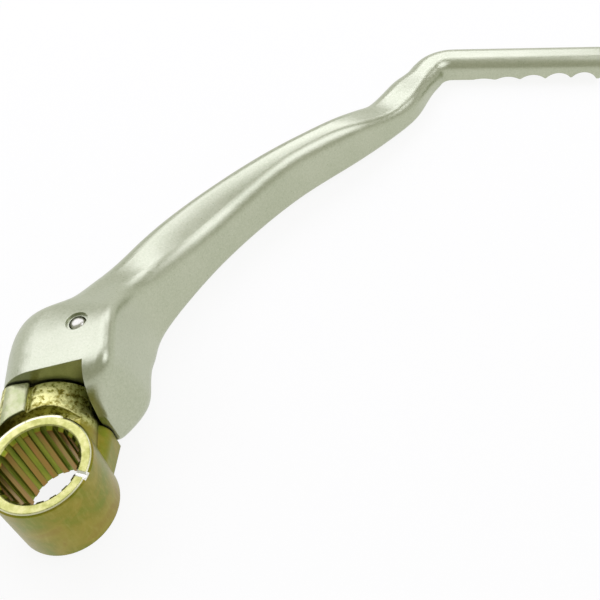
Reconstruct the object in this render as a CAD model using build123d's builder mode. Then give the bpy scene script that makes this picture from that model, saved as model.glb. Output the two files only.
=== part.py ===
from build123d import *
from math import cos, radians, sin, sqrt
import os

# Kick start lever. Sizes are millimetres and degrees.
# X runs along the folded peg, Y along the pivot stud, Z along the bore, with the seat face at Z = 0.

# Splined barrel
barrel_diameter = 26.5
barrel_length = 22.8
barrel_chamfer = 0.7
spline_teeth = 20
spline_tip_diameter = 18.8
spline_root_diameter = 20.6
spline_groove_width = 1.5
bore_chamfer = 0.3
timing_notch_angle = -22
timing_notch_width = 1.8
timing_notch_depth = 0.4

# Knuckle of the boss
stud_height = 13.4
neck_diameter = 20.6
neck_top = 22.9
neck_chamfer = 0.5
shoulder_top = 15.2
block_width = 25.2
block_height = 13.0
block_bottom = 0.8
block_round = 6.5
block_draft = 6.5
stop_flat_distance = 10.8
stop_flat_inset = 4.5
stop_left = 13.0
stop_start = 5.0
stop_corner_round = 6.0
stop_edge_round = 1.5
stop_flat_round = 0.7
stop_top_round = 5.0
ring_groove_width = 2.3
ring_groove_depth = 3.2

# Pivot stud
stud_diameter = 15.0
stud_length = 21.1
stud_chamfer = 0.8
running_clearance = 0.05
end_clearance = 0.4

# Retaining pin, pressed into the lever beside the stud
pin_diameter = 4.6
pin_place = 36.4
pin_offset = 8.3
pin_bottom = 4.0
pin_sink = 0.7
pin_dome = 1.6
pin_mouth_diameter = 6.0
pin_mouth_depth = 1.3
pin_press_gap = 0.01
groove_clearance = 0.15

# Ball detent between the boss and the hood
ball_diameter = 5.0
ball_ring_radius = 10.5
ball_clearance = 0.1
detent_hole_depth = 10.9
detent_angle = 225
track_depth = 0.6
dimple_depth = 0.6
spring_wire = 0.6
spring_diameter = 4.4
spring_turns = 5

# Hood and wing of the lever
hood_gap = 0.5
wing_gap = 0.4
stop_clearance = 0.2
hood_left = 13.5
hood_right = 23.1
hood_bottom = 0.8
hood_top_left = 26.8
hood_top_right = 31.0
hood_draft = 5.0
hood_round = 12.0
hood_low_round = 6.5
hood_ridge_round = 3.2
hood_length = 10.6
swing = 90

# Arm and peg, along their centre line from the wing's end
line_start = 11.2
root_turn_radius = 41.0
root_turn = 34
arm_turn_radius = 190.0
arm_turn = 25
arm_straight = 22.0
dip_turn_radius = 22.0
dip_turn = 19
shank_length = 30.5
bend_radius = 10.0
bend_turn = 64
peg_length = 52.3
peg_width = 12.0
peg_top = 9.0
peg_bottom = 1.4
peg_low_round = 1.0
peg_high_round = 4.4
peg_end_round = 1.0

# Tread under the peg
scallop_count = 5
scallop_pitch = 8.85
scallop_shallow = 0.9
scallop_deep = 2.8
scallop_tip_round = 0.5
tip_rise = 0.9
lip_length = 1.5

# Places worked out from the sizes
stud_axis = Axis((0, 0, stud_height), (0, -1, 0))
stud_end = neck_top + stud_length
hood_underside = neck_top + hood_gap
wing_end = shoulder_top + wing_gap
wing_flat = stop_flat_distance + stop_clearance
ball_radius = ball_diameter / 2
ball_level = hood_underside + track_depth - ball_clearance - ball_radius
ball_hole_radius = ball_radius + ball_clearance
detent_hole_end = neck_top - detent_hole_depth
groove_radius = pin_offset - pin_diameter / 2 - groove_clearance
hood_slope = (hood_top_right - hood_top_left) / (hood_right - hood_draft + hood_left)
pin_top = hood_top_left + hood_slope * (pin_offset + hood_left) - pin_sink


def across_stud(place):
    """Plane square to the stud at this Y, with X to the right and Z up; it extrudes towards the barrel."""
    return Plane.XZ.offset(-place)


def round_stud(angle, radius):
    """Place in X and Z at this angle and radius about the stud."""
    return (radius * cos(radians(angle)), stud_height + radius * sin(radians(angle)))


# Splined boss: barrel, knuckle and stud in one forging
with BuildPart() as splined_boss:
    with BuildSketch() as barrel:
        Circle(barrel_diameter / 2)
    extrude(amount=barrel_length)
    chamfer(splined_boss.edges().filter_by(GeomType.CIRCLE), length=barrel_chamfer)

    # Block under the shoulder
    with BuildSketch(across_stud(shoulder_top)) as block:
        with Locations((0, block_bottom)):
            Rectangle(block_width, block_height, align=(Align.CENTER, Align.MIN))
        fillet(block.vertices().group_by(Axis.Y)[-1], radius=block_round)
    extrude(amount=shoulder_top, taper=block_draft)

    # Round neck, and the stop lug with its two flats
    with BuildSketch(across_stud(neck_top)) as neck:
        with Locations((0, stud_height)):
            Circle(neck_diameter / 2)
    extrude(amount=neck_top)
    chamfer(splined_boss.edges().filter_by(GeomType.CIRCLE).sort_by(Axis.Y)[-1], length=neck_chamfer)
    with BuildSketch(across_stud(neck_top)) as stop_lug:
        with BuildLine():
            FilletPolyline(
                (-stop_left, block_bottom),
                (stop_flat_distance, block_bottom),
                (stop_flat_distance, stud_height - stop_flat_inset),
                (-stop_flat_inset, stud_height - stop_flat_inset),
                (-stop_flat_inset, stud_height + stop_flat_distance),
                (-stop_left, stud_height + stop_flat_distance),
                radius=[
                    stop_corner_round, stop_edge_round, stop_flat_round, 0, stop_flat_round, stop_top_round
                ],
                close=True,
            )
        make_face()
    extrude(amount=neck_top - stop_start)

    # Turned relief round the ring face
    with BuildSketch(Plane.XY.offset(barrel_length - ring_groove_depth)) as relief:
        Circle(barrel_diameter / 2 + ring_groove_width)
        Circle(barrel_diameter / 2, mode=Mode.SUBTRACT)
    extrude(amount=ring_groove_depth, mode=Mode.SUBTRACT)
    with BuildSketch(Plane.XY.offset(barrel_length)) as above_ring:
        Circle(barrel_diameter / 2 + ring_groove_width)
    extrude(amount=stud_height, mode=Mode.SUBTRACT)

    # Stud with its chamfered tip and the groove that the pin runs in
    with BuildSketch(across_stud(stud_end)) as stud:
        with Locations((0, stud_height)):
            Circle(stud_diameter / 2)
    extrude(amount=stud_length)
    chamfer(splined_boss.edges().filter_by(GeomType.CIRCLE).sort_by(Axis.Y)[-1], length=stud_chamfer)
    groove_half = pin_diameter / 2 + groove_clearance
    with BuildSketch(across_stud(pin_place + groove_half)) as pin_groove:
        with Locations((0, stud_height)):
            Circle(stud_diameter)
            Circle(groove_radius, mode=Mode.SUBTRACT)
    extrude(amount=2 * groove_half, mode=Mode.SUBTRACT)

    # Splined bore with its two chamfered mouths
    with BuildSketch() as bore:
        Circle(spline_tip_diameter / 2)
        with PolarLocations(0, spline_teeth):
            Rectangle(spline_root_diameter / 2, spline_groove_width, align=(Align.MIN, Align.CENTER))
    extrude(amount=barrel_length, mode=Mode.SUBTRACT)
    mouth_radius = spline_root_diameter / 2 + bore_chamfer
    with BuildSketch(Plane.XZ) as mouths:
        with BuildLine():
            Polyline((0, 0), (mouth_radius, 0), (0, mouth_radius), close=True)
        make_face()
        with BuildLine():
            Polyline(
                (0, barrel_length),
                (mouth_radius, barrel_length),
                (0, barrel_length - mouth_radius),
                close=True,
            )
        make_face()
    revolve(axis=Axis.Z, mode=Mode.SUBTRACT)

    # Notch across the ring face that lines the lever up on its shaft
    notch_plane = Plane(
        origin=(0, 0, barrel_length - timing_notch_depth),
        x_dir=(-sin(radians(timing_notch_angle)), cos(radians(timing_notch_angle)), 0),
        z_dir=(cos(radians(timing_notch_angle)), sin(radians(timing_notch_angle)), 0),
    )
    with BuildSketch(notch_plane) as notch:
        with Locations((0, timing_notch_width / 2)):
            Circle(timing_notch_width / 2)
    extrude(amount=barrel_diameter, mode=Mode.SUBTRACT)

    # Detent hole
    with BuildSketch(across_stud(neck_top)) as detent_hole:
        with Locations(round_stud(detent_angle, ball_ring_radius)):
            Circle(ball_hole_radius)
    extrude(amount=detent_hole_depth, mode=Mode.SUBTRACT)

# Centre line of the lever, from the wing's end to the peg's end
with BuildLine() as centre_line:
    hood_run = Line((line_start, wing_end), (line_start, hood_underside + hood_length))
    root_arc = JernArc(hood_run @ 1, hood_run % 1, root_turn_radius, -root_turn)
    arm_arc = JernArc(root_arc @ 1, root_arc % 1, arm_turn_radius, -arm_turn)
    arm_end = Line(arm_arc @ 1, (arm_arc @ 1) + arm_straight * (arm_arc % 1))
    dip_arc = JernArc(arm_end @ 1, arm_end % 1, dip_turn_radius, dip_turn)
    shank = Line(dip_arc @ 1, (dip_arc @ 1) + shank_length * (dip_arc % 1))
    bend_arc = JernArc(shank @ 1, shank % 1, bend_radius, -bend_turn)
    peg_run = Line(bend_arc @ 1, (bend_arc @ 1) + peg_length * (bend_arc % 1))


def section_plane(curve, share):
    """Plane square to the centre line at this share of one of its curves, X to the right and Z up."""
    along = curve % share
    return Plane(origin=curve @ share, x_dir=(along.Y, -along.X, 0), z_dir=(-along.X, -along.Y, 0))


hood_section = (
    -line_start - hood_left, hood_right - line_start, hood_draft,
    hood_bottom, hood_top_left, hood_top_right,
    (hood_round, hood_low_round, hood_ridge_round, hood_round),
)
peg_section = (
    -peg_width / 2, peg_width / 2, 0, peg_bottom, peg_top, peg_top,
    (peg_low_round, peg_low_round, peg_high_round, peg_high_round),
)
# Each station: curve, share along it, then the section there: left, right, draft of the right wall,
# bottom, top at the left, top at the right, and the radii of the four corners from low left
stations = [
    (hood_run, 0, -22.0, 2.4, 0.8, 3.4, 13.0, 15.5, (4, 1.5, 1.5, 4)),
    (hood_run, 0.035, -23.0, 3.6, 1.2, 2.4, 18.0, 20.8, (6, 2.5, 2.5, 6)),
    (hood_run, 0.12, -23.8, 5.6, 1.6, 1.6, 22.8, 26.6, (9, 4, 3.2, 9)),
    (hood_run, 0.27, -24.3, 8.6, 2.4, 1.1, 25.6, 29.8, (11, 5.5, 3.2, 11)),
    (hood_run, 0.45, -24.6, 11.3, 4.4, 0.8, 26.7, 30.9, (12, 6.5, 3.2, 12)),
    (hood_run, 0.74, *hood_section),
    (hood_run, 1, *hood_section),
    (root_arc, 0.3, -22.2, 11.7, 5.0, 0.8, 26.3, 29.8, (11, 5, 4, 11)),
    (root_arc, 0.5, -13.4, 11.0, 4.6, 0.9, 25.2, 28.0, (9, 4, 5, 9)),
    (root_arc, 0.7, -9.4, 10.0, 3.8, 1.0, 24.2, 25.8, (5, 3, 5.5, 6)),
    (root_arc, 1, -8.2, 9.2, 2.8, 1.0, 22.2, 22.8, (3.5, 2.5, 5, 5)),
    (arm_arc, 0.17, -8.5, 8.5, 2.0, 1.0, 20.4, 20.2, (3, 2.5, 4.5, 4.5)),
    (arm_arc, 0.34, -8.4, 8.0, 1.6, 1.0, 18.9, 18.8, (3, 2.5, 4, 4)),
    (arm_arc, 0.51, -7.5, 7.8, 1.4, 1.0, 18.2, 18.2, (3, 2.5, 4, 4)),
    (arm_arc, 0.68, -6.3, 7.6, 1.4, 1.0, 17.9, 18.0, (3, 2.5, 4, 4)),
    (arm_arc, 0.85, -5.4, 7.4, 1.4, 1.0, 17.4, 17.6, (3, 2.5, 4, 4)),
    (arm_arc, 1, -5.1, 7.4, 1.2, 1.0, 16.6, 16.8, (3, 2.5, 4, 4)),
    (arm_end, 0.5, -5.4, 7.3, 1.0, 1.0, 15.4, 15.4, (3, 2.5, 4, 4)),
    (arm_end, 0.95, -6.2, 6.9, 1.0, 1.1, 12.8, 12.4, (3, 2.5, 3.8, 3.8)),
    (dip_arc, 1, -7.0, 7.1, 1.0, 1.2, 10.4, 10.2, (2.5, 2, 3.8, 3.8)),
    (shank, 0.35, -6.9, 7.9, 0.8, 1.3, 9.8, 9.8, (2, 1.5, 4, 4)),
    (shank, 0.6, -6.9, 6.8, 0.4, 1.4, 9.3, 9.3, (1.5, 1.2, 4.2, 4.2)),
    (shank, 0.8, *peg_section),
    (shank, 0.9, *peg_section),
    (shank, 1, *peg_section),
]


def section(plane, left, right, draft, bottom, top_left, top_right, radii):
    """Closed outline of the forging on this plane."""
    with BuildSketch(plane) as outline:
        with BuildLine():
            FilletPolyline(
                (left, bottom), (right, bottom), (right - draft, top_right), (left, top_left),
                radius=list(radii),
                close=True,
            )
        make_face()
    return outline.sketch


tread_plane = Plane(
    origin=peg_run @ 0,
    x_dir=peg_run % 0,
    z_dir=((peg_run % 0).Y, -(peg_run % 0).X, 0),
)


# Tips of the tread, which rise towards the peg's end, and the lip after the last of them
tread_end = peg_length - lip_length
tread_start = tread_end - scallop_count * scallop_pitch
tread_tips = [
    (tread_start + number * scallop_pitch, peg_bottom + tip_rise * number / scallop_count)
    for number in range(scallop_count)
]
tread_tips.append((tread_end, peg_bottom))

# Lever: hood, wing, arm, bend and peg in one forging
with BuildPart() as lever:
    # Wing, hood and arm in one run, then the bend and the peg
    loft([section(section_plane(curve, share), *sizes) for curve, share, *sizes in stations])
    revolve(
        section(section_plane(bend_arc, 0), *peg_section),
        axis=Axis(bend_arc.arc_center, (0, 0, -1)),
        revolution_arc=bend_turn,
    )
    extrude(section(section_plane(peg_run, 1), *peg_section), amount=peg_length)
    fillet(lever.faces().sort_by(Axis(peg_run @ 0, peg_run % 0))[-1].edges(), radius=peg_end_round)

    # The hood stops short of the boss; only the wing reaches down beside it
    with BuildSketch(across_stud(hood_underside)) as hood_mouth:
        with Locations((wing_flat, stud_height)):
            Rectangle(wing_flat + 2 * hood_left, 2 * hood_top_right, align=(Align.MAX, Align.CENTER))
    extrude(amount=hood_underside, mode=Mode.SUBTRACT)

    # Bore for the stud
    with BuildSketch(across_stud(stud_end + end_clearance)) as stud_bore:
        with Locations((0, stud_height)):
            Circle(stud_diameter / 2 + running_clearance)
    extrude(amount=stud_end + end_clearance - wing_end, mode=Mode.SUBTRACT)

    # Hole for the pin, with a wider mouth
    with BuildSketch(Plane.XY.offset(pin_bottom)) as pin_hole:
        with Locations((pin_offset, pin_place)):
            Circle(pin_diameter / 2 + pin_press_gap)
    extrude(amount=hood_top_right, mode=Mode.SUBTRACT)
    with BuildSketch(Plane.XY.offset(pin_top + pin_sink - pin_mouth_depth)) as pin_mouth:
        with Locations((pin_offset, pin_place)):
            Circle(pin_mouth_diameter / 2)
    extrude(amount=hood_top_right, mode=Mode.SUBTRACT)

    # Track for the ball in the hood's underside, with a dimple at each end of the swing
    track_start = detent_angle - swing
    track_plane = Plane(
        origin=(0, 0, stud_height),
        x_dir=(cos(radians(track_start)), 0, sin(radians(track_start))),
        z_dir=(-sin(radians(track_start)), 0, cos(radians(track_start))),
    )
    with BuildSketch(track_plane) as track:
        with Locations((ball_ring_radius, hood_underside + track_depth - ball_hole_radius)):
            Circle(ball_hole_radius)
    revolve(axis=stud_axis, revolution_arc=swing, mode=Mode.SUBTRACT)
    for angle in (track_start, detent_angle):
        dimple_x, dimple_z = round_stud(angle, ball_ring_radius)
        dimple_y = hood_underside + track_depth + dimple_depth - ball_hole_radius
        with Locations((dimple_x, dimple_y, dimple_z)):
            Sphere(ball_hole_radius, mode=Mode.SUBTRACT)

    # Scalloped tread under the peg, deeper towards the lip at its end
    with BuildSketch(tread_plane) as tread:
        with BuildLine():
            for number in range(scallop_count):
                depth = scallop_shallow + (scallop_deep - scallop_shallow) * number / (scallop_count - 1)
                here = tread_tips[number]
                there = tread_tips[number + 1]
                crest = ((here[0] + there[0]) / 2, (here[1] + there[1]) / 2 + depth)
                ThreePointArc(here, crest, there)
            Polyline(tread_tips[-1], (tread_end, -peg_top), (tread_start, -peg_top), tread_tips[0])
        make_face()
        inner_tips = tread.vertices().sort_by(Axis.X)[2:-2]
        fillet(inner_tips, radius=scallop_tip_round)
    extrude(amount=peg_width, both=True, mode=Mode.SUBTRACT)

# Retaining pin
with BuildPart() as retaining_pin:
    with BuildSketch(Plane.XY.offset(pin_bottom)) as pin_outline:
        with Locations((pin_offset, pin_place)):
            Circle(pin_diameter / 2)
    extrude(amount=pin_top - pin_bottom)
    fillet(retaining_pin.edges().group_by(Axis.Z)[-1], radius=pin_dome)

# Detent ball, at the level of the track between the dimples
ball_x, ball_z = round_stud(detent_angle, ball_ring_radius)
with BuildPart() as detent_ball:
    with Locations((ball_x, ball_level, ball_z)):
        Sphere(ball_radius)

# Detent spring, from the hole's floor to the ball
spring_radius = (spring_diameter - spring_wire) / 2
ball_seat = ball_level - sqrt((ball_radius + spring_wire / 2) ** 2 - spring_radius**2)
spring_travel = ball_seat - detent_hole_end - spring_wire / 2
with BuildPart() as detent_spring:
    with BuildLine() as coil:
        Helix(
            pitch=spring_travel / spring_turns,
            height=spring_travel,
            radius=spring_radius,
            center=(ball_x, detent_hole_end + spring_wire / 2, ball_z),
            direction=(0, 1, 0),
        )
    with BuildSketch(Plane(origin=coil.line @ 0, z_dir=coil.line % 0)):
        Circle(spring_wire / 2)
    sweep()

os.makedirs("parts", exist_ok=True)
splined_boss.part.label = "splined_boss"
export_step(splined_boss.part, "parts/splined_boss.step")
lever.part.label = "lever"
export_step(lever.part, "parts/lever.step")
retaining_pin.part.label = "retaining_pin"
export_step(retaining_pin.part, "parts/retaining_pin.step")
detent_ball.part.label = "detent_ball"
export_step(detent_ball.part, "parts/detent_ball.step")
detent_spring.part.label = "detent_spring"
export_step(detent_spring.part, "parts/detent_spring.step")
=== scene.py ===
import math

import bpy
import numpy as np
from mathutils import Matrix, Quaternion, Vector


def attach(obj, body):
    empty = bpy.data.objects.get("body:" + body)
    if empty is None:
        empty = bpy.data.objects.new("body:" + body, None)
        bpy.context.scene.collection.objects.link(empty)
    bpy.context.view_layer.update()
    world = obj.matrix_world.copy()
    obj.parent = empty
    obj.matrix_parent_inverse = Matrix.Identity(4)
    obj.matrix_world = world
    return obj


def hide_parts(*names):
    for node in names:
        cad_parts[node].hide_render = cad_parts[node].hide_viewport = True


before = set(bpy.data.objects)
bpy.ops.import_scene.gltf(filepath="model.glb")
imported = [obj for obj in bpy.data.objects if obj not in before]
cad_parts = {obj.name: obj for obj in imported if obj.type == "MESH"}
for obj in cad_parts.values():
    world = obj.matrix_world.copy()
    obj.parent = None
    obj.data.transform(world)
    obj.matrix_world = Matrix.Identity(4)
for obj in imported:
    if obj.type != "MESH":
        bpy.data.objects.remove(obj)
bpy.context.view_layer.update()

MM = 0.001


# Helpers for node trees; lengths in materials are millimetres

def link(tree, value, socket):
    """Feeds a socket from another socket, a colour or a number."""
    if isinstance(value, bpy.types.NodeSocket):
        tree.links.new(value, socket)
    elif isinstance(value, tuple):
        socket.default_value = (*value, 1)
    else:
        socket.default_value = value


def new_material(name):
    """Metal material with its tree, its shader and the part's own coordinates in millimetres."""
    material = bpy.data.materials.new(name)
    material.use_nodes = True
    tree = material.node_tree
    shader = tree.nodes["Principled BSDF"]
    shader.inputs["Metallic"].default_value = 1.0
    scale = tree.nodes.new("ShaderNodeVectorMath")
    scale.operation = "SCALE"
    scale.inputs["Scale"].default_value = 1 / MM
    tree.links.new(tree.nodes.new("ShaderNodeTexCoord").outputs["Object"], scale.inputs[0])
    return material, tree, shader, scale.outputs[0]


def stretched(tree, place, x, y, z):
    """The coordinates with each axis multiplied by its own factor."""
    node = tree.nodes.new("ShaderNodeVectorMath")
    node.operation = "MULTIPLY"
    node.inputs[1].default_value = (x, y, z)
    tree.links.new(place, node.inputs[0])
    return node.outputs[0]


def split(tree, place):
    """X, Y and Z of a vector."""
    node = tree.nodes.new("ShaderNodeSeparateXYZ")
    tree.links.new(place, node.inputs[0])
    return node.outputs


def calc(tree, operation, first, second=0.0):
    """One sum on two values."""
    node = tree.nodes.new("ShaderNodeMath")
    node.operation = operation
    link(tree, first, node.inputs[0])
    link(tree, second, node.inputs[1])
    return node.outputs[0]


def above(tree, value, limit):
    """1 where a value is over a limit, else 0."""
    return calc(tree, "GREATER_THAN", value, limit)


def below(tree, value, limit):
    """1 where a value is under a limit, else 0."""
    return calc(tree, "LESS_THAN", value, limit)


def both(tree, first, second):
    """Where two masks meet."""
    return calc(tree, "MULTIPLY", first, second)


def noise(tree, place, size, detail=3.0, roughness=0.55, distortion=0.0):
    """Noise whose grain is about this long."""
    texture = tree.nodes.new("ShaderNodeTexNoise")
    texture.inputs["Scale"].default_value = 1 / size
    texture.inputs["Detail"].default_value = detail
    texture.inputs["Roughness"].default_value = roughness
    texture.inputs["Distortion"].default_value = distortion
    tree.links.new(place, texture.inputs["Vector"])
    return texture.outputs["Fac"]


def ramp(tree, value, *stops):
    """Colour ramp through these (place, colour) stops."""
    node = tree.nodes.new("ShaderNodeValToRGB")
    elements = node.color_ramp.elements
    while len(elements) < len(stops):
        elements.new(0.5)
    for element, (place, colour) in zip(elements, stops):
        element.position = place
        element.color = (*colour, 1)
    tree.links.new(value, node.inputs["Fac"])
    return node.outputs["Color"]


MASK = (0.0, 1.0)


def remap(tree, value, source, target):
    """Value taken from one (low, high) range to another, held at the ends."""
    node = tree.nodes.new("ShaderNodeMapRange")
    node.inputs["From Min"].default_value, node.inputs["From Max"].default_value = source
    node.inputs["To Min"].default_value, node.inputs["To Max"].default_value = target
    tree.links.new(value, node.inputs["Value"])
    return node.outputs["Result"]


# Sockets of a mix node that mixes colours
MIX_SHARE = 0
MIX_FIRST = 6
MIX_SECOND = 7
MIX_RESULT = 2


def mix(tree, share, first, second):
    """Two colours mixed by a share."""
    node = tree.nodes.new("ShaderNodeMix")
    node.data_type = "RGBA"
    link(tree, share, node.inputs[MIX_SHARE])
    link(tree, first, node.inputs[MIX_FIRST])
    link(tree, second, node.inputs[MIX_SECOND])
    return node.outputs[MIX_RESULT]


def bump(tree, height, strength, depth, under):
    """Bump of this depth on top of another normal."""
    node = tree.nodes.new("ShaderNodeBump")
    node.inputs["Strength"].default_value = strength
    node.inputs["Distance"].default_value = depth * MM
    tree.links.new(height, node.inputs["Height"])
    tree.links.new(under, node.inputs["Normal"])
    return node.outputs["Normal"]


BEVEL_SAMPLES = 6
CORNER_SAMPLES = 8


def soft_edges(tree, radius):
    """Normal with sharp edges broken by a small radius."""
    node = tree.nodes.new("ShaderNodeBevel")
    node.samples = BEVEL_SAMPLES
    node.inputs["Radius"].default_value = radius * MM
    return node.outputs["Normal"]


def corners(tree, reach):
    """How open a place lies: 1 in the open, 0 in a tight gap, over this distance."""
    node = tree.nodes.new("ShaderNodeAmbientOcclusion")
    node.samples = CORNER_SAMPLES
    node.inputs["Distance"].default_value = reach * MM
    return node.outputs["AO"]


# Colours of the alloy, and its clouds as (noise, colour) stops
ALLOY_CLOUDS = ((0.3, (0.395, 0.43, 0.300)), (0.7, (0.435, 0.465, 0.335)))
ALLOY_SPARKLE = (0.72, 0.73, 0.60)
# Painted shade, mixed into the alloy where corners and gaps close in
ALLOY_PAINTED_SHADE = (0.10, 0.105, 0.05)


def satin_alloy():
    """Tumbled aluminium forging: pale silver with a faint green cast, fine grain and shallow waves, and
    painted shade in its corners and gaps.
    """
    material, tree, shader, place = new_material("satin_alloy")
    clouds = noise(tree, place, size=14, detail=2)
    grain = noise(tree, place, size=0.6, detail=4, roughness=0.75)
    wave = noise(tree, place, size=5, detail=1)

    sparkle = remap(tree, grain, (0.35, 0.7), (0.0, 0.36))
    # Painted shade: the colour darkens where the part's own corners and gaps close in around a place
    painted_shade = remap(tree, corners(tree, reach=1.2), (0.15, 0.6), (0.5, 0.0))
    colour = mix(tree, sparkle, ramp(tree, clouds, *ALLOY_CLOUDS), ALLOY_SPARKLE)
    tree.links.new(mix(tree, painted_shade, colour, ALLOY_PAINTED_SHADE), shader.inputs["Base Color"])
    tree.links.new(remap(tree, grain, (0.3, 0.7), (0.27, 0.37)), shader.inputs["Roughness"])
    waves = bump(tree, wave, strength=0.5, depth=0.05, under=soft_edges(tree, radius=0.2))
    tree.links.new(bump(tree, grain, strength=0.9, depth=0.045, under=waves), shader.inputs["Normal"])
    return material


# Places on the boss, in millimetres, that tell its machined faces from its forged skin
RING_BOTTOM = 22.5
RING_RADIUS = 13.4
# Radius beyond which the ring's outer chamfer gets its painted highlight
RING_EDGE = 12.6
LUG_BOTTOM = 23.45
LUG_EDGE = -3.6
BORE_RADIUS = 10.45
GROOVE_RADIUS = 9.6
NOTCH_ANGLE = math.radians(-22)
NOTCH_HALF = 1.0
NOTCH_BOTTOM = 22.05
NOTCH_TOP = 22.77
NECK_ALONG_Y = (11.5, 14.0)
NECK_ALONG_Z = (12.0, 17.0)

# Colours of the zinc, and its tints, stains and streaks as (noise, colour) stops
SKIN_TINTS = (
    (0.34, (0.175, 0.20, 0.012)),
    (0.47, (0.23, 0.205, 0.018)),
    (0.58, (0.28, 0.235, 0.03)),
    (0.72, (0.25, 0.18, 0.022)),
)
SKIN_MARK = (0.36, 0.32, 0.075)
NECK_PALE = (0.74, 0.74, 0.32)
NECK_DARK = (0.09, 0.085, 0.012)
RING_STAINS = (
    (0.36, (0.33, 0.34, 0.095)),
    (0.50, (0.45, 0.46, 0.165)),
    (0.62, (0.55, 0.545, 0.24)),
)
# Painted highlight: the pale colour of the ring's outer chamfer stands in for the light caught on that
# edge
RING_RIM_PAINTED_HIGHLIGHT = (0.80, 0.80, 0.56)
LUG_STAINS = ((0.36, (0.36, 0.41, 0.21)), (0.60, (0.47, 0.49, 0.31)))
LAND_STREAKS = ((0.35, (0.31, 0.155, 0.035)), (0.65, (0.25, 0.19, 0.022)))
GROOVE_STREAKS = ((0.35, (0.15, 0.215, 0.01)), (0.65, (0.25, 0.265, 0.02)))
NOTCH_METAL = (0.84, 0.85, 0.77)
ZINC_SPARKLE = (0.60, 0.56, 0.17)
# Painted shade, mixed into the zinc where corners and gaps close in
ZINC_PAINTED_SHADE = (0.06, 0.05, 0.01)


def forged_skin(tree, place, on_neck, specks):
    """Olive to gold clouds with faint marks along the bore, and pale and dark patches on the neck."""
    tints = noise(tree, place, size=8, detail=3, distortion=0.6)
    marks = noise(tree, stretched(tree, place, 1, 1, 0.25), size=1.0, detail=3)
    pale = both(tree, on_neck, remap(tree, specks, (0.40, 0.54), (0.0, 0.95)))
    dark = both(tree, on_neck, remap(tree, specks, (0.34, 0.42), (0.8, 0.0)))
    marked = remap(tree, marks, (0.5, 0.75), (0.0, 0.4))
    skin = mix(tree, marked, ramp(tree, tints, *SKIN_TINTS), SKIN_MARK)
    return mix(tree, dark, mix(tree, pale, skin, NECK_PALE), NECK_DARK)


def machined_faces(tree, place, radius, lug):
    """Pale gold ring with olive stains, its outer chamfer painted pale as a highlight, and the greyer face
    of the lug.
    """
    stains = noise(tree, place, size=2.4, detail=5, roughness=0.65)
    # Painted highlight on the ring's outer chamfer, beyond RING_EDGE
    ring = mix(tree, above(tree, radius, RING_EDGE), ramp(tree, stains, *RING_STAINS), RING_RIM_PAINTED_HIGHLIGHT)
    return mix(tree, lug, ring, ramp(tree, stains, *LUG_STAINS))


def bore_wall(tree, place, radius):
    """Reddish tooth lands and green grooves, streaked along the bore."""
    streaks = noise(tree, stretched(tree, place, 1, 1, 0.12), size=1.2, detail=2)
    land = ramp(tree, streaks, *LAND_STREAKS)
    groove = ramp(tree, streaks, *GROOVE_STREAKS)
    return mix(tree, above(tree, radius, GROOVE_RADIUS), land, groove)


def notch_mask(tree, x, y, z, radius):
    """The slot across the ring face, where the metal is bare."""
    from_x = calc(tree, "MULTIPLY", x, math.sin(NOTCH_ANGLE))
    from_y = calc(tree, "MULTIPLY", y, math.cos(NOTCH_ANGLE))
    across = calc(tree, "ABSOLUTE", calc(tree, "SUBTRACT", from_y, from_x))
    in_width = both(tree, below(tree, across, NOTCH_HALF), above(tree, x, 0))
    in_depth = both(tree, above(tree, z, NOTCH_BOTTOM), below(tree, z, NOTCH_TOP))
    return both(tree, both(tree, in_width, in_depth), below(tree, radius, RING_RADIUS))


def yellow_zinc():
    """Yellow-passivated zinc: pale on machined faces, mottled olive on forged skin, banded in the bore,
    with painted shade in its corners and gaps.
    """
    material, tree, shader, place = new_material("yellow_zinc")
    x, y, z = split(tree, place)
    radius = calc(tree, "SQRT", calc(tree, "ADD", calc(tree, "POWER", x, 2), calc(tree, "POWER", y, 2)))
    on_neck = both(tree, remap(tree, y, NECK_ALONG_Y, MASK), remap(tree, z, NECK_ALONG_Z, MASK))
    ring = both(tree, above(tree, z, RING_BOTTOM), below(tree, radius, RING_RADIUS))
    lug = both(tree, above(tree, z, LUG_BOTTOM), below(tree, x, LUG_EDGE))
    in_bore = both(tree, below(tree, radius, BORE_RADIUS), below(tree, z, RING_BOTTOM))
    specks = noise(tree, place, size=1.3, detail=4, roughness=0.65)
    grain = noise(tree, place, size=0.3, detail=4, roughness=0.7)
    sparkle = remap(tree, grain, (0.3, 0.7), (0.0, 0.10))
    # Painted shade: the colour darkens where the part's own corners and gaps close in around a place
    painted_shade = remap(tree, corners(tree, reach=2.0), (0.1, 0.5), (0.4, 0.0))

    colour = forged_skin(tree, place, on_neck, specks)
    colour = mix(tree, calc(tree, "MAXIMUM", ring, lug), colour, machined_faces(tree, place, radius, lug))
    colour = mix(tree, in_bore, colour, bore_wall(tree, place, radius))
    colour = mix(tree, notch_mask(tree, x, y, z, radius), colour, NOTCH_METAL)
    colour = mix(tree, sparkle, colour, ZINC_SPARKLE)
    tree.links.new(mix(tree, painted_shade, colour, ZINC_PAINTED_SHADE), shader.inputs["Base Color"])
    tree.links.new(remap(tree, grain, (0.3, 0.7), (0.28, 0.42)), shader.inputs["Roughness"])
    pits = both(tree, specks, on_neck)
    pitted = bump(tree, pits, strength=0.8, depth=0.25, under=soft_edges(tree, radius=0.4))
    tree.links.new(bump(tree, grain, strength=0.4, depth=0.02, under=pitted), shader.inputs["Normal"])
    return material


# Marks on plain steel: the shade of their dark places and the roughness of their pale ones, as shares
MARK_SHADE = 0.8
MARK_ROUGHNESS = 1.6


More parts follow.
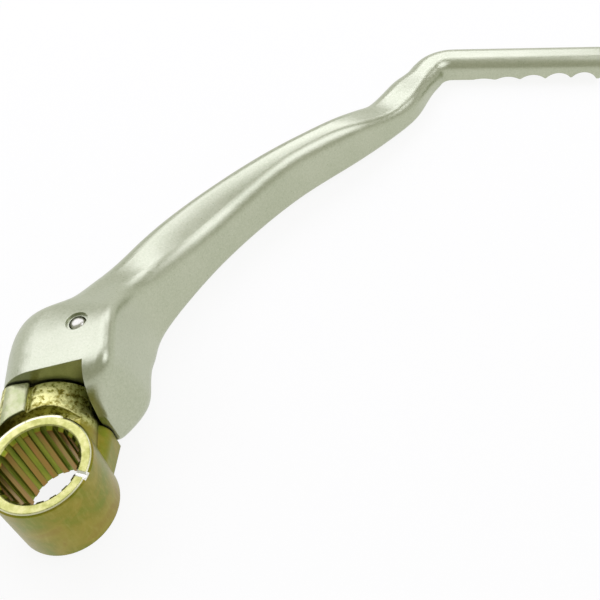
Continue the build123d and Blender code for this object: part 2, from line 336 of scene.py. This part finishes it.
def bright_steel(name, colour, roughness):
    """Plain ground steel with fine marks."""
    material, tree, shader, place = new_material(name)
    marks = noise(tree, place, size=0.5, detail=4, roughness=0.65)
    shaded = tuple(MARK_SHADE * part for part in colour)
    marked = mix(tree, remap(tree, marks, (0.35, 0.65), MASK), shaded, colour)
    tree.links.new(marked, shader.inputs["Base Color"])
    rough = remap(tree, marks, (0.3, 0.7), (roughness, MARK_ROUGHNESS * roughness))
    tree.links.new(rough, shader.inputs["Roughness"])
    fine = bump(tree, marks, strength=0.3, depth=0.01, under=soft_edges(tree, radius=0.1))
    tree.links.new(fine, shader.inputs["Normal"])
    return material


def dress(name, material):
    """Gives a CAD node its material."""
    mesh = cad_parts[name].data
    mesh.materials.clear()
    mesh.materials.append(material)


# The arm's long curve in plan, in millimetres: its start, heading, radius and turn, the height of its top,
# and how far its edges lie to the left and right of its line, near the hood and near the dip
ARM_START = np.array((18.21, 56.93))
ARM_HEADING = math.radians(34)
ARM_RADIUS = 190.0
ARM_TURN = math.radians(25)
ARM_HEIGHT = 19.0
ARM_LEFT = (-8.4, -5.2)
ARM_RIGHT = (8.8, 7.4)

# Crown of the arm's top, near the hood and near the dip: how far its middle rises and its right edge drops
CROWN_RISE = (1.0, 1.25)
RIDGE_DROP = (5.0, 2.4)

# Shares of the curve between which the crown comes in, changes and goes out, and each edge moves in
CROWN_IN = (-0.15, 0.3)
CROWN_CHANGE = (0.35, 0.85)
CROWN_OUT = (1.0, 1.25)
LEFT_NARROWS = (0.35, 0.95)
RIGHT_NARROWS = (0.0, 0.5)


def part_way(value, low, high):
    """How far a value has come from low, 0, to high, 1."""
    return np.clip((value - low) / (high - low), 0, 1)


def ease(value, low, high):
    """Smooth step from 0 at low to 1 at high."""
    share = part_way(value, low, high)
    return share * share * (3 - 2 * share)


def between(pair, share):
    """The value at this share of the way from the first to the second."""
    return pair[0] + (pair[1] - pair[0]) * share


def crown(points):
    """How far each point of the lever moves up, to round the top of its arm."""
    to_centre = np.array((math.cos(ARM_HEADING), -math.sin(ARM_HEADING)))
    spoke = points[:, :2] - (ARM_START + ARM_RADIUS * to_centre)
    turned = np.arctan2(spoke @ (to_centre[1], -to_centre[0]), spoke @ -to_centre)
    along = -turned / ARM_TURN
    side = ARM_RADIUS - np.hypot(*spoke.T)
    left = between(ARM_LEFT, part_way(along, *LEFT_NARROWS))
    right = between(ARM_RIGHT, part_way(along, *RIGHT_NARROWS))
    across = part_way(side, left, right)
    far = ease(along, *CROWN_CHANGE)
    arch = 4 * across * (1 - across)
    rise = between(CROWN_RISE, far) * arch
    drop = between(RIDGE_DROP, far) * across
    on_arm = ease(along, *CROWN_IN) * (1 - ease(along, *CROWN_OUT))
    return on_arm * (rise - drop) * points[:, 2] / ARM_HEIGHT


def slopes(points, step=0.02):
    """How the crown changes along X, Y and Z."""
    moves = step * np.eye(3)
    changes = [crown(points + move) - crown(points - move) for move in moves]
    return np.stack(changes, axis=1) / (2 * step)


def crowned_lever():
    """The lever with its arm's top rounded, as a piece of its own in place of the solid."""
    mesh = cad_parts["lever"].data.copy()
    points = np.empty((len(mesh.vertices), 3))
    mesh.vertices.foreach_get("co", points.ravel())
    points /= MM
    normals = np.empty((len(mesh.loops), 3))
    mesh.corner_normals.foreach_get("vector", normals.ravel())
    owner = np.empty(len(mesh.loops), dtype=int)
    mesh.loops.foreach_get("vertex_index", owner)

    slope = slopes(points)[owner]
    upright = normals[:, 2] / (1 + slope[:, 2])
    normals[:, :2] -= slope[:, :2] * upright[:, None]
    normals[:, 2] = upright
    normals /= np.linalg.norm(normals, axis=1, keepdims=True)
    points[:, 2] += crown(points)
    mesh.vertices.foreach_set("co", (MM * points).ravel())
    mesh.normals_split_custom_set(normals.tolist())

    piece = bpy.data.objects.new("crowned_lever", mesh)
    bpy.context.scene.collection.objects.link(piece)
    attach(piece, "lever")
    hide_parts("lever")


dress("lever", satin_alloy())
crowned_lever()
dress("splined_boss", yellow_zinc())
dress("retaining_pin", bright_steel("pin_steel", colour=(0.56, 0.56, 0.48), roughness=0.24))
dress("detent_ball", bright_steel("ball_steel", colour=(0.80, 0.80, 0.82), roughness=0.10))
dress("detent_spring", bright_steel("spring_steel", colour=(0.42, 0.42, 0.44), roughness=0.30))


# Floor and light, in metres

FLOOR_PLACE = (0.08, 0.07, -0.0001)
FLOOR_RADIUS = 1.1
FLOOR_SIDES = 96
RIM_RADIUS = 0.6
RIM_TURN = math.radians(80)
RIM_STEPS = 12
FLOOR_COLOUR = (0.93, 0.93, 0.93)
FLOOR_ROUGHNESS = 0.9
FLOOR_WHITE = 0.88


def white_floor():
    """Matt white floor that shows as plain white, with a faint shadow, and as white in the metal too."""
    material = bpy.data.materials.new("floor")
    material.use_nodes = True
    tree = material.node_tree
    shader = tree.nodes["Principled BSDF"]
    shader.inputs["Base Color"].default_value = (*FLOOR_COLOUR, 1)
    shader.inputs["Roughness"].default_value = FLOOR_ROUGHNESS
    shader.inputs["Specular IOR Level"].default_value = 0.0
    glow = tree.nodes.new("ShaderNodeEmission")
    glow.inputs["Strength"].default_value = 1.0
    rays = tree.nodes.new("ShaderNodeLightPath").outputs
    seen = calc(tree, "ADD", rays["Is Camera Ray"], rays["Is Glossy Ray"])
    seen = calc(tree, "MINIMUM", calc(tree, "ADD", seen, rays["Is Transmission Ray"]), 1.0)
    blend = tree.nodes.new("ShaderNodeMixShader")
    tree.links.new(calc(tree, "MULTIPLY", seen, FLOOR_WHITE), blend.inputs[0])
    tree.links.new(shader.outputs[0], blend.inputs[1])
    tree.links.new(glow.outputs[0], blend.inputs[2])
    tree.links.new(blend.outputs[0], tree.nodes["Material Output"].inputs["Surface"])
    return material


def floor_mesh():
    """Flat disc whose rim curves up all round, as backdrop paper does."""
    points = []
    for step in range(RIM_STEPS + 1):
        turn = RIM_TURN * step / RIM_STEPS
        radius = FLOOR_RADIUS + RIM_RADIUS * math.sin(turn)
        height = RIM_RADIUS * (1 - math.cos(turn))
        for side in range(FLOOR_SIDES):
            angle = math.tau * side / FLOOR_SIDES
            points.append((radius * math.cos(angle), radius * math.sin(angle), height))
    faces = [range(FLOOR_SIDES)]
    for inner in range(0, RIM_STEPS * FLOOR_SIDES, FLOOR_SIDES):
        outer = inner + FLOOR_SIDES
        for side in range(FLOOR_SIDES):
            ahead = (side + 1) % FLOOR_SIDES
            faces.append((inner + side, outer + side, outer + ahead, inner + ahead))
    mesh = bpy.data.meshes.new("floor")
    mesh.from_pydata(points, [], faces)
    mesh.shade_smooth()
    mesh.polygons[0].use_smooth = False
    return mesh


floor = bpy.data.objects.new("floor", floor_mesh())
floor.location = FLOOR_PLACE
bpy.context.scene.collection.objects.link(floor)
floor.data.materials.append(white_floor())

WORLD_LEVEL = 0.55
WORLD_COLOUR = (1.0, 1.0, 0.86)
world = bpy.context.scene.world or bpy.data.worlds.new("world")
bpy.context.scene.world = world
world.use_nodes = True
background = world.node_tree.nodes["Background"]
background.inputs["Color"].default_value = (*WORLD_COLOUR, 1)
background.inputs["Strength"].default_value = WORLD_LEVEL

LAMP_COLOUR = (0.99, 0.96, 1.22)
LAMP_DISTANCE = 0.9
LAMP_TARGET = Vector((0.08, 0.07, 0.01))


def softbox(name, direction, width, height, roll, radiance):
    """Area lamp that looks at the middle of the part from this direction, rolled by some degrees."""
    data = bpy.data.lights.new(name, "AREA")
    data.shape = "RECTANGLE"
    data.size = width
    data.size_y = height
    data.energy = radiance * math.pi * width * height
    data.color = LAMP_COLOUR
    lamp = bpy.data.objects.new(name, data)
    towards = Vector(direction).normalized()
    turn = towards.to_track_quat("Z", "Y") @ Quaternion((0, 0, 1), math.radians(roll))
    lamp.location = LAMP_TARGET + LAMP_DISTANCE * towards
    lamp.rotation_euler = turn.to_euler()
    bpy.context.scene.collection.objects.link(lamp)


softbox("key", direction=(-0.40, 0.53, 0.75), width=1.10, height=0.60, roll=-17, radiance=1.62)
softbox("ridge_light", direction=(0.60, 0.05, 0.80), width=0.60, height=0.50, roll=0, radiance=1.9)
softbox("peg_light", direction=(0.26, 0.78, 0.57), width=0.38, height=0.34, roll=0, radiance=2.1)

# Camera: place, lens and sensor in millimetres, axes, and nearest view in metres
CAMERA_PLACE = (72.85, -97.82, 182.25)
CAMERA_RIGHT = Vector((0.9885, -0.0902, -0.1210))
CAMERA_FORWARD = Vector((-0.0341, 0.6476, -0.7612))
LENS = 48
SENSOR = 36
NEAREST = 0.01

camera_data = bpy.data.cameras.new("camera")
camera_data.lens = LENS
camera_data.sensor_width = SENSOR
camera_data.clip_start = NEAREST
camera = bpy.data.objects.new("camera", camera_data)
back = -CAMERA_FORWARD.normalized()
up = back.cross(CAMERA_RIGHT).normalized()
right = up.cross(back)
axes = Matrix((right, up, back)).transposed()
camera.matrix_world = Matrix.Translation(MM * Vector(CAMERA_PLACE)) @ axes.to_4x4()
bpy.context.scene.collection.objects.link(camera)
bpy.context.scene.camera = camera
bpy.context.scene.view_settings.view_transform = "Standard"
